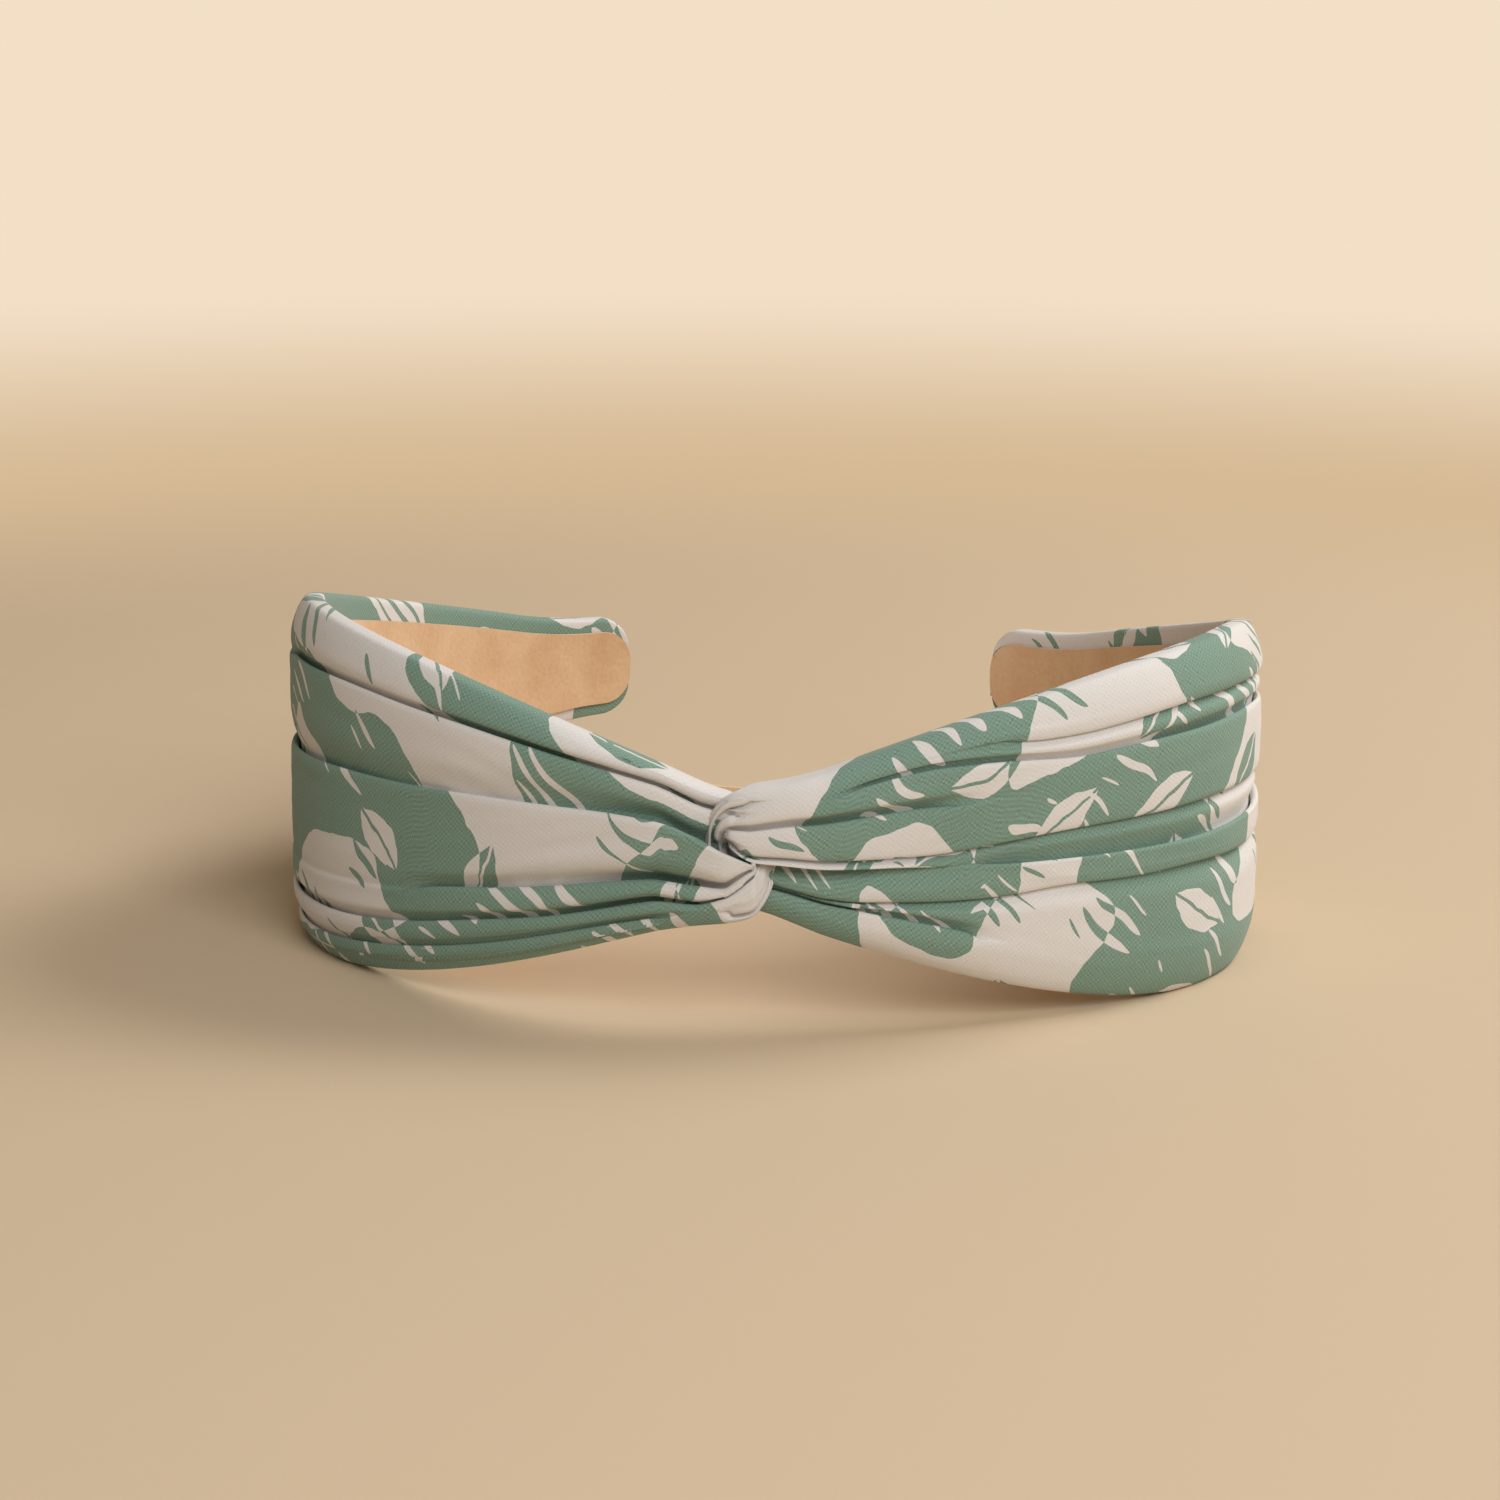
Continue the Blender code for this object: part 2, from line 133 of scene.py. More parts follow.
def stations(start, end, step):
    """Distances along one arm, an even step apart and closer round the corner of the tip."""
    corner = end - TIP_CORNER
    even = np.linspace(start, corner, round((corner - start) / step) + 1)
    quarter = np.sin(np.linspace(0.0, math.pi / 2, CORNER_POINTS + 1)[1:])
    return np.concatenate([even, corner + TIP_CORNER * quarter])


def shaped_grid(name, points, layout=None):
    """A flat grid of quads, moved to an array of points (row, column, xyz), with its flat layout as UV."""
    rows, columns = points.shape[:2]
    builder = bmesh.new()
    bmesh.ops.create_grid(builder, x_segments=columns - 1, y_segments=rows - 1, size=GRID_HALF)
    flat = builder.loops.layers.uv.new("flat")
    for vertex in builder.verts:
        row = round((vertex.co.y + GRID_HALF) * (rows - 1))
        column = round((vertex.co.x + GRID_HALF) * (columns - 1))
        vertex.co = points[row, column]
        if layout is not None:
            for loop in vertex.link_loops:
                loop[flat].uv = layout[row, column]
    for face in builder.faces:
        face.smooth = True
    for edge in builder.edges:
        edge.smooth = not edge.is_boundary
    mesh = bpy.data.meshes.new(name)
    builder.to_mesh(mesh)
    builder.free()
    piece = bpy.data.objects.new(name, mesh)
    bpy.context.scene.collection.objects.link(piece)
    return piece


def strip(name, side, start, end, outward, margins):
    """One half of a strip that follows the band, set in from its edge by (distance, margin) points."""
    along = np.insert(stations(start, end, STRIP_STEP), 1, start + STRIP_END_STEP)
    across = np.linspace(-1.0, 1.0, STRIP_ROWS)[:, None] * side
    half = full_half(along) - corner_loss(along, end) - np.interp(along, *zip(*margins))
    return shaped_grid(name, place(side * np.maximum(along, LEAST_ALONG), outward, across * half))


def thicken(piece, thickness, eased=0.0):
    """Gives a sheet its thickness, inwards from the side that shows, and eases its edges."""
    solid = piece.modifiers.new("thickness", "SOLIDIFY")
    solid.thickness = thickness * MM
    solid.offset = -1.0
    if eased:
        edge = piece.modifiers.new("eased_edge", "BEVEL")
        edge.width = eased * MM
        edge.segments = EDGE_SEGMENTS
        edge.limit_method = "ANGLE"


def bend_with_arm(piece, side):
    """Works out where the arm of its side bends, then bakes the piece's transform into its mesh; the piece is
    not bent.
    """
    start, end = place(np.array([side * BEND_START, side * BEND_END]), 0.0, 0.0)
    start[1] = end[1]
    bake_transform(piece)


def linear(hex_colour):
    """An sRGB hex colour as linear values, by the curve of that standard."""
    values = [int(hex_colour[index:index + 2], 16) / 255 for index in (1, 3, 5)]
    return [v / 12.92 if v <= 0.04045 else ((v + 0.055) / 1.055) ** 2.4 for v in values] + [1.0]


def new_material(name):
    """A material, and the shader that its nodes lead to."""
    material = bpy.data.materials.new(name)
    material.use_nodes = True
    return material, material.node_tree.nodes["Principled BSDF"]


def set_inputs(material, node, inputs):
    """Gives each input of a node a value, or links it to another node's output."""
    for name, value in inputs.items():
        if isinstance(value, bpy.types.NodeSocket):
            material.node_tree.links.new(value, node.inputs[name])
        else:
            node.inputs[name].default_value = value


def add_node(material, kind, inputs, **settings):
    """Adds a node with its settings and links."""
    made = material.node_tree.nodes.new("ShaderNode" + kind)
    for name, value in settings.items():
        setattr(made, name, value)
    set_inputs(material, made, inputs)
    return made


def polypropylene():
    """Extruded sheet: milky and a little waxy, with faint flow lines that follow its length."""
    core, shader = new_material("polypropylene")
    spot = add_node(core, "TexCoord", {})
    flow = add_node(core, "Mapping", {
        "Vector": spot.outputs["Object"],
        "Scale": (1 / (FLOW_LINE_LENGTH * MM), 1 / (FLOW_LINE_LENGTH * MM), 1 / (FLOW_LINE_WIDTH * MM)),
    })
    lines = add_node(core, "TexNoise", {"Vector": flow.outputs["Vector"], "Scale": 1.0, "Detail": 3.0})
    milk = add_node(core, "MixRGB", {
        "Fac": lines.outputs["Fac"], "Color1": linear(CORE_MILK), "Color2": linear(CORE_SHADE),
    })
    dent = add_node(core, "Bump", {
        "Height": lines.outputs["Fac"], "Distance": FLOW_LINE_DEPTH * MM, "Strength": 0.4,
    })
    set_inputs(core, shader, {
        "Base Color": milk.outputs["Color"], "Normal": dent.outputs["Normal"],
        "Roughness": 0.42, "IOR": 1.49, "Subsurface Weight": 0.15,
    })
    return core


core_plastic = polypropylene()
for side in (LEFT, RIGHT):
    core = strip(SIDE_NAMES[side] + "_core", side, 0.0, ARM_LENGTH - CORE_TIP_GAP, CORE_THICKNESS / 2,
                 [(0.0, CORE_CROWN_INSET), (CORE_NECK_LENGTH, CORE_INSET)])
    thicken(core, CORE_THICKNESS, CORE_EASED_EDGE)
    core.data.materials.append(core_plastic)
    bend_with_arm(core, side)
    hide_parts("core_band")


# Wadding
# A thin layer of white polyester batting on the outside of the core, cut a little smaller than the core.
# It is tacked down with glue and gives the pleats their soft, padded look. The cloth hides it.
WADDING_FACE = 1.7
WADDING_THICKNESS = 0.8
WADDING_MARGIN = 3.0
WADDING_EASED_EDGE = WADDING_THICKNESS / 3
WADDING_START = 12.3
WADDING_TIP_GAP = 15.0
FIBRE_LENGTH = 4.0
FIBRE_WIDTH = 0.4
FIBRE_HEIGHT = 0.2
BATTING_WHITE = "#eeece7"
BATTING_SHADE = "#d9d6d0"


def batting():
    """Loose crimped fibres: a matt white with a hairy, clouded surface."""
    wadding, shader = new_material("polyester_batting")
    spot = add_node(wadding, "TexCoord", {})
    hair = add_node(wadding, "Mapping", {
        "Vector": spot.outputs["Object"],
        "Scale": (1 / (FIBRE_LENGTH * MM), 1 / (FIBRE_LENGTH * MM), 1 / (FIBRE_WIDTH * MM)),
    })
    fibres = add_node(wadding, "TexNoise", {
        "Vector": hair.outputs["Vector"], "Scale": 1.0, "Detail": 4.0, "Distortion": 1.5,
    })
    white = add_node(wadding, "MixRGB", {
        "Fac": fibres.outputs["Fac"], "Color1": linear(BATTING_WHITE), "Color2": linear(BATTING_SHADE),
    })
    fuzz = add_node(wadding, "Bump", {"Height": fibres.outputs["Fac"], "Distance": FIBRE_HEIGHT * MM})
    set_inputs(wadding, shader, {
        "Base Color": white.outputs["Color"], "Normal": fuzz.outputs["Normal"],
        "Roughness": 0.95, "Sheen Weight": 0.3, "Sheen Roughness": 0.6,
    })
    return wadding


white_batting = batting()
for side in (LEFT, RIGHT):
    pad = strip(SIDE_NAMES[side] + "_batting", side, WADDING_START, ARM_LENGTH - WADDING_TIP_GAP,
                WADDING_FACE, [(0.0, CORE_INSET + WADDING_MARGIN)])
    thicken(pad, WADDING_THICKNESS, WADDING_EASED_EDGE)
    pad.data.materials.append(white_batting)
    bend_with_arm(pad, side)
    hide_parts(SIDE_NAMES[side] + "_wadding")


# Printed cloth
# Two cuts of printed cotton poplin, one on each side, pleated along the band and turned over its edges.
# At the crown each is looped through the other, so that the two bights hold each other. The turned edges
# are glued to the inside of the core, under the lining.
CLOTH_THICKNESS = 0.3
HEM_LEVEL = -1.4
HEM_WIDTH = 6.0
HEM_SHARE = 0.45
HEM_POINTS = (1.0, 0.6, 0.25, 0.0)
RIM_LEVEL = 1.6
RIM_BULGE = 0.05
RIM_POINTS = (0.35, 0.75)
RIM_TURN = 0.1
TWIST_RIM = 0.3
SHOULDER_WIDTH = 8.0
SHOULDER_SHARE = 0.35
SHOULDER_START = 0.25
TUCK_WIDTH = 4.0
PLEAT_OVERHANG = 0.7
OVERHANG_SHARE = 0.3
PLEAT_TUCK = 1.8
TUCK_SHARE = 0.5
PLEAT_DEPTH = 0.8
LEAST_LEVEL = 0.1
PADDING_LEVEL = 1.9
TWIST_DEPTH = 1.6
LEAST_FOLD = 0.25
FOLD_RANGE = 0.5
UNFOLDED_SPREAD = 0.4
NOTCH_WIDTH = 0.45
EDGE_TAIL = 3.0
TWIST_TAIL = 0.35
TURNING_TAIL = 0.6
TAIL_POINTS = (0.4, 1.0)
TAIL_OUT = 0.4
TAIL_DIP = 0.4
EDGE_SINK = 0.1
EDGE_ROLL = 0.3
ROLL_OUT = 0.8
ROLL_DOWN = 0.6
BIGHT_SPARE = 7.0
TWIST_REACH = 19.0
TWIST_STEP = 0.5
WING_LEAD = (0.0, 4.0, 8.0)
WING_STEP = 1.3
TIP_LEVEL = -1.6
TIP_CLOSING = 3.0
TIP_CLOSED = 0.999
BAND_POINTS = 4
SPLINE_SAMPLES = 2
WAVER = 0.35
WAVER_LENGTH = 17.0
WAVER_LAYER = 0.5
WRINKLE_LENGTH = 16.0
WRINKLE_WIDTH = 2.2

# Each cloth is followed from the tip of its front half round its bight to the tip of its back half, and its
# places are millimetres from the middle of the bight. The left cloth's front half lies low, the right one's
# high: edges are written for the left cloth, and the right cloth is turned half round about the crown.
# An edge's points are (place along the cloth, along the band, up from its middle). The other tables pair a
# place with a value: how far the hem wraps, how far the cloth is on its wing, the height of its puff, the
# depth of its wrinkles, the breadth and depth of a pleat, and the width of the flat cut, which tapers to
# both tips and is gathered at the bight. DRAWN_IN and the inner heights go by the distance from the crown
# instead. A fold's points are (overhangs, tucks, height).
OUTER_EDGE = (
    (-13.0, -6.0, -10.6), (-8.5, -1.0, -9.7), (-5.5, 1.7, -8.8), (-2.7, 3.9, -6.2), (-0.7, 4.8, -3.6),
    (1.4, 5.0, -1.0), (4.0, 4.5, 2.2), (7.0, 3.0, 5.6), (10.0, 0.0, 7.8), (13.5, -4.5, 9.2),
)
WRAP = ((-10.0, 1.0), (-4.5, 0.0), (8.0, 0.0), (12.0, 1.0))
WING = ((-30.0, 1.0), (-12.0, 0.0), (12.0, 0.0), (30.0, 1.0))
PUFF = (
    (-178.0, 0.6), (-125.0, 1.1), (-98.0, 1.9), (-80.0, 1.9), (-60.0, 1.5), (-30.0, 2.0), (-19.0, 2.3),
    (0.0, 1.9), (19.0, 2.1), (30.0, 1.9), (60.0, 1.5), (80.0, 1.9), (98.0, 1.9), (125.0, 1.1), (178.0, 0.6),
)
WRINKLING = ((-70.0, 0.1), (-24.0, 0.2), (-8.0, 0.1), (8.0, 0.1), (24.0, 0.2), (70.0, 0.1))
USUAL_RISE = ((-90.0, 4.5), (-50.0, 2.6), (50.0, 2.6), (90.0, 4.5))
USUAL_DEPTH = ((0.0, 1.0),)
DRAWN_IN = ((0.0, 0.8), (20.0, 0.6), (60.0, 0.2), (90.0, 0.0))
FOLD_SECTION = (
    (-1.6, 0.0, 0.97), (1.0, 0.0, 0.9), (1.0, 0.0, 0.5),
    (0.0, -1.0, 0.42), (0.0, -1.0, 0.14), (1.8, 0.0, 0.2),
)


def smooth_step(share):
    """A share from 0 to 1, eased in and out."""
    share = np.clip(share, 0.0, 1.0)
    return share * share * (3 - 2 * share)


def through(points, at):
    """Smooth curve through chosen (place, value) points, without overshoot and level past both ends."""
    places, values = (np.array(column, float) for column in zip(*points))
    if len(places) == 1:
        return np.full(np.shape(at), values[0])
    secants = np.diff(values) / np.diff(places)
    product = secants[:-1] * secants[1:]
    total = np.where(product > 0, secants[:-1] + secants[1:], 1.0)
    slopes = np.concatenate([[0.0], np.where(product > 0, 2 * product / total, 0.0), [0.0]])
    at = np.clip(at, places[0], places[-1])
    index = np.clip(np.searchsorted(places, at) - 1, 0, len(places) - 2)
    span = places[index + 1] - places[index]
    t = (at - places[index]) / span
    start = (1 + 2 * t) * (1 - t) ** 2 * values[index] + t * (1 - t) ** 2 * span * slopes[index]
    return start + t * t * (3 - 2 * t) * values[index + 1] + t * t * (t - 1) * span * slopes[index + 1]


def spline_basis(count):
    """Weights of a clamped cubic B-spline's control points at evenly spaced samples."""
    padded = np.concatenate([[0, 0], np.arange(count), [count - 1, count - 1]])
    spans = len(padded) - 3
    basis = np.zeros((spans * SPLINE_SAMPLES + 1, count))
    for sample in range(len(basis)):
        span = min(sample // SPLINE_SAMPLES, spans - 1)
        t = sample / SPLINE_SAMPLES - span
        weights = ((1 - t) ** 3, 3 * t ** 3 - 6 * t ** 2 + 4, -3 * t ** 3 + 3 * t ** 2 + 3 * t + 1, t ** 3)
        for offset, weight in enumerate(weights):
            basis[sample, padded[span + offset]] += weight / 6
    return basis


def cloth_edge(along, twist_points, wing_height):
    """An edge of the cloth on the band: chosen points at the twist, and a height rule on the wings."""
    known = list(twist_points)
    for end in (-1, 1):
        for past in WING_LEAD:
            at = end * (TWIST_REACH + past)
            known.append((at, BIGHT_SPARE - abs(at), float(wing_height(np.array(at)))))
    known.sort()
    in_twist = np.abs(along) < TWIST_REACH
    band_along = through([(at, a) for at, a, h in known], along)
    band_height = through([(at, h) for at, a, h in known], along)
    return np.stack([
        np.where(in_twist, band_along, BIGHT_SPARE - np.abs(along)),
        np.where(in_twist, band_height, wing_height(along)),
    ])


def wavering(along, length, seed):
    """A slow drift to either side at each place along the cloth."""
    return np.array([noise.noise((at / length, seed, WAVER_LAYER)) for at in along])


def cloth_section(along, width, seat, creases, folded, seed):
    """Control points across the cloth at each place: in from its outer edge, and out from the core."""
    puff = through(PUFF, along)
    wing = through(WING, along)
    wrap = through(WRAP, along)
    rim = wing * RIM_LEVEL + (1 - wing) * (seat + TWIST_RIM * puff)
    back = wrap * HEM_LEVEL + (1 - wrap) * (seat + CLOTH_THICKNESS)
    shoulder = np.minimum(SHOULDER_WIDTH, SHOULDER_SHARE * width)
    tuck_in = np.minimum(TUCK_WIDTH, SHOULDER_SHARE * width)
    pleats = []
    for index, crease in enumerate(creases):
        waver = wing * WAVER * wavering(along, WAVER_LENGTH, seed + index)
        turned = along > crease.get("turns", math.inf)
        pleats.append({
            "centre": width * through(crease["shares"], along) + waver,
            "strength": through(crease["strengths"], along),
            "facing": np.where(turned, -crease["facing"], crease["facing"]),
            "notch": through(crease["notch"], along),
            "rise": through(crease.get("rise", USUAL_RISE), along),
            "depth": through(crease.get("depth", USUAL_DEPTH), along),
        })
    lowest = wing * PADDING_LEVEL + (1 - wing) * (seat - TWIST_DEPTH)

    def crown(across):
        """Level of the cloth without its pleats, from its outer edge up and down again to a tucked edge."""
        up = 1 - (1 - np.clip(across / shoulder, 0.0, 1.0)) ** 2
        drop = (1 - folded) * (1 - smooth_step((width - across) / tuck_in))
        return rim + (seat + puff - rim) * up - PLEAT_DEPTH * puff * drop

    def pleated(across):
        """The same, lowered behind the fold of each pleat."""
        level = crown(across)
        for pleat in pleats:
            behind = (across - pleat["centre"]) * pleat["facing"]
            tucked = np.where(behind > 0, (1 - np.clip(behind / pleat["rise"], 0.0, 1.0)) ** 2, 0.0)
            dent = np.exp(-(behind / NOTCH_WIDTH) ** 2)
            drop = PLEAT_DEPTH * pleat["depth"] * pleat["strength"] * tucked
            level = level - puff * (drop + pleat["notch"] * dent)
        return np.maximum(level, np.minimum(lowest, crown(across)))

    hem = np.minimum(HEM_WIDTH, HEM_SHARE * width)
    outer_edge = np.zeros_like(width)
    inset = SHOULDER_START * shoulder
    points = [(share * hem, back) for share in HEM_POINTS]
    points += [(outer_edge - RIM_BULGE, back + share * (rim - back)) for share in RIM_POINTS]
    points += [(outer_edge + RIM_TURN, rim), (inset, crown(inset))]

    def add_band(across):
        """Points over the band of cloth between the last fold and the next."""
        first = points[-1][0]
        for share in np.linspace(0.0, 1.0, BAND_POINTS + 2)[1:-1]:
            at = first + (across - first) * share
            points.append((at, pleated(at)))

    borders = [outer_edge] + [pleat["centre"] for pleat in pleats] + [width]
    for index, pleat in enumerate(pleats):
        centre = pleat["centre"]
        facing = pleat["facing"]
        before, after = centre - borders[index], borders[index + 2] - centre
        room = np.minimum(before, after)
        tuck = np.minimum(PLEAT_TUCK, TUCK_SHARE * np.where(facing > 0, before, after))
        over = np.minimum(PLEAT_OVERHANG, OVERHANG_SHARE * room)
        fold = smooth_step((pleat["strength"] - LEAST_FOLD) / FOLD_RANGE)
        folded_over = [(overs * over + tucks * tuck, height) for overs, tucks, height in FOLD_SECTION]
        swung = []
        for slot, (reach, height) in enumerate(folded_over):
            back_reach, back_height = folded_over[-1 - slot]
            reach = np.where(facing > 0, reach, -back_reach)
            height = np.where(facing > 0, height, back_height)
            flat = centre + (slot / (len(folded_over) - 1) - 0.5) * UNFOLDED_SPREAD * room
            across = flat + (centre + reach - flat) * fold
            drop = (1 - height) * pleat["depth"] * (crown(centre) - seat)
            fold_level = np.maximum(crown(centre) - drop, lowest)
            swung.append((across, pleated(across) * (1 - fold) + fold_level * fold))
        add_band(swung[0][0])
        points.extend(swung)
    add_band(width)

    turn = folded * math.pi
    roll = EDGE_ROLL * puff
    sine, down = np.sin(turn), 1 - np.cos(turn)
    edge_level = pleated(width) - EDGE_SINK * puff * folded
    tail = EDGE_TAIL * (TWIST_TAIL + (1 - TWIST_TAIL) * wing) * (1 - TURNING_TAIL * sine)
    points.append((width, edge_level))
    points.append((width + ROLL_OUT * roll * sine, edge_level - ROLL_DOWN * roll * down))
    for share in TAIL_POINTS:
        level = edge_level - roll * down - TAIL_DIP * share * tail * sine
        across = width + TAIL_OUT * roll * sine + share * tail * np.cos(turn)
        points.append((across, np.maximum(level, seat + LEAST_LEVEL)))
    return np.stack([across for across, level in points]), np.stack([level for across, level in points])


def cloth(name, side, seed, inner_edge, inner_heights, seats, creases, folded_edge):
    """One side's cloth, shaped over the band and round its bight, with its flat layout in metres as UV.

    The seed sets its drift, its wrinkles and where its print starts.
    """
    arm = stations(TWIST_REACH, ARM_LENGTH + BIGHT_SPARE, WING_STEP)
    twist = np.arange(-TWIST_REACH + TWIST_STEP, TWIST_REACH - TWIST_STEP / 2, TWIST_STEP)
    along = np.concatenate([-arm[::-1], twist, arm])
    turned = -side

    def outer_height(at):
        """The outer edge on a wing: along the rim of the band, drawn in a little beside the twist."""
        distance = np.abs(at) - BIGHT_SPARE
        drawn_in = through(DRAWN_IN, distance)
        return np.sign(at) * (full_half(distance) - corner_loss(distance, ARM_LENGTH) - drawn_in)

    def inner_height(at):
        """The inner edge on a wing: a share of the way from the middle of the band to its rim."""
        distance = np.abs(at) - BIGHT_SPARE
        return turned * through(inner_heights, distance) * full_half(distance)

    outer = cloth_edge(along, OUTER_EDGE, outer_height)
    inner = cloth_edge(along, inner_edge, inner_height)
    width = np.linalg.norm(inner - outer, axis=0)
    seat = through(seats, along)
    folded = through(folded_edge, along)
    across, level = cloth_section(along, width, seat, creases, folded, seed)

    # Near the tip the outside draws in until the cloth closes over the end of the core
    closing = np.clip((np.abs(along) - ARM_LENGTH - BIGHT_SPARE) / TIP_CLOSING + 1, 0.0, 1.0)
    level = TIP_LEVEL + (level - TIP_LEVEL) * np.sqrt(1 - TIP_CLOSED * closing ** 2)
    basis = spline_basis(len(across))
    across = basis @ across
    level = basis @ level

    # Fine wrinkles run along the cloth, deepest beside the twist, and leave the turned edges alone
    depth = through(WRINKLING, along)
    for row, column in np.ndindex(across.shape):
        spot = (along[column] / WRINKLE_LENGTH, across[row, column] / WRINKLE_WIDTH, seed)
        clear = min(max(across[row, column] / SHOULDER_WIDTH, 0.0), 1.0)
        if level[row, column] > seat[column]:
            level[row, column] += clear * depth[column] * noise.noise(spot)

    share = across / width
    on_band = outer[:, None, :] + (inner - outer)[:, None, :] * share
    points = place(turned * on_band[0], level, turned * on_band[1])
    steps = np.linalg.norm(np.diff(points, axis=0), axis=2)
    lengths = np.concatenate([np.zeros((1, len(along))), np.cumsum(steps, axis=0)])
    layout = np.stack([np.broadcast_to(along * MM + seed, lengths.shape), lengths], axis=-1)
    piece = shaped_grid(name, points, layout)
    thicken(piece, CLOTH_THICKNESS)
    bend_with_arm(piece, side)
    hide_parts(SIDE_NAMES[side] + "_cover", SIDE_NAMES[side] + "_loop")
    return piece


# A crease is one pleat. Its shares give its place from the outer edge in widths of the cloth, its strengths
# how fully it is folded, and its notch how deep the dent along it is, in heights of the puff. Its lip points
# to the inner edge where facing is 1 and to the outer edge where it is -1, and changes sides past turns.
# Seats are the levels that the cloth lies on, in millimetres out from the core. folded_edge is 1 where the
# inner edge is folded under, and 0 where it dips and runs on flat.
NO_NOTCH = ((0.0, 0.0),)
EDGE_NOTCH = ((-11.0, 0.0), (-7.0, 0.35), (-4.0, 0.7), (3.0, 0.7), (7.0, 0.35), (11.0, 0.0))

left_cloth = cloth(
    "left_cloth", LEFT, seed=0.0,
    inner_edge=(
        (-13.0, -6.0, 3.1), (-9.5, -2.3, 1.2), (-7.0, 0.0, 0.2), (-4.5, 2.1, -0.7), (-2.5, 2.0, -0.6),
        (-0.5, 1.6, 0.0), (1.5, 1.2, 0.8), (4.0, 0.6, 1.5), (7.0, -0.6, 1.8), (10.0, -2.5, 1.4),
        (13.5, -6.0, 1.7),
    ),
    inner_heights=(
        (12.0, 0.38), (28.0, 0.31), (39.0, 0.265), (52.0, 0.22), (67.0, 0.19), (90.0, 0.14), (178.0, 0.1),
    ),
    seats=(
        (-70.0, 2.0), (-32.0, 2.3), (-19.0, 3.1), (-13.0, 4.0), (-8.5, 4.7), (-5.0, 4.6), (-2.5, 3.4),
        (-0.5, 2.1), (1.5, 1.3), (4.0, 1.1), (13.0, 1.2), (19.0, 1.8), (28.0, 2.3), (70.0, 2.0),
    ),
    creases=(
        dict(facing=1, turns=-11.0, notch=EDGE_NOTCH,
             shares=((-178.0, 0.12), (-20.0, 0.12), (-8.0, 0.2), (0.0, 0.17), (10.0, 0.12), (178.0, 0.12)),
             strengths=((-178.0, 0.0), (-110.0, 0.5), (-60.0, 0.8), (-20.0, 0.6), (-12.5, 0.0), (-9.5, 0.0),
                        (-7.5, 0.8), (-2.5, 0.8), (0.5, 0.0))),
        dict(facing=1, notch=NO_NOTCH, rise=((-45.0, 2.4), (-20.0, 3.2), (-10.0, 1.5)),
             depth=((-60.0, 1.0), (-35.0, 1.6), (-12.0, 1.5), (-7.0, 1.0)),
             shares=((-178.0, 0.26), (-20.0, 0.256), (-13.0, 0.24), (-9.5, 0.33), (-7.0, 0.49), (-4.5, 0.72),
                     (0.0, 0.74), (4.0, 0.5), (10.0, 0.18), (178.0, 0.17)),
             strengths=((-178.0, 0.2), (-110.0, 0.7), (-60.0, 1.0), (-6.0, 1.0), (-2.0, 0.4), (2.0, 0.0))),
        dict(facing=1, notch=NO_NOTCH, rise=((-60.0, 2.5), (-35.0, 4.5), (-14.0, 4.5), (-6.0, 1.5)),
             depth=((-60.0, 1.0), (-44.0, 1.3), (-36.0, 2.2), (-10.0, 2.0), (-6.0, 1.0)),
             shares=((-178.0, 0.45), (-20.0, 0.445), (-13.0, 0.415), (-9.5, 0.46), (-7.0, 0.64), (-4.5, 0.87),
                     (0.0, 0.87), (4.0, 0.7), (10.0, 0.24), (178.0, 0.22)),
             strengths=((-178.0, 0.1), (-110.0, 0.3), (-65.0, 0.25), (-44.0, 1.0), (-5.0, 1.0), (0.0, 0.0))),
        dict(facing=-1, notch=NO_NOTCH, depth=((12.0, 1.6), (45.0, 1.5), (70.0, 1.1)),
             shares=((-178.0, 0.75), (-13.0, 0.75), (-4.5, 0.95), (0.0, 0.94), (4.0, 0.85), (12.0, 0.38),
                     (46.0, 0.39), (178.0, 0.38)),
             strengths=((6.0, 0.0), (11.0, 1.0), (80.0, 1.0), (105.0, 0.0))),
    ),
    folded_edge=((-2.0, 1.0), (4.0, 0.0)),
)
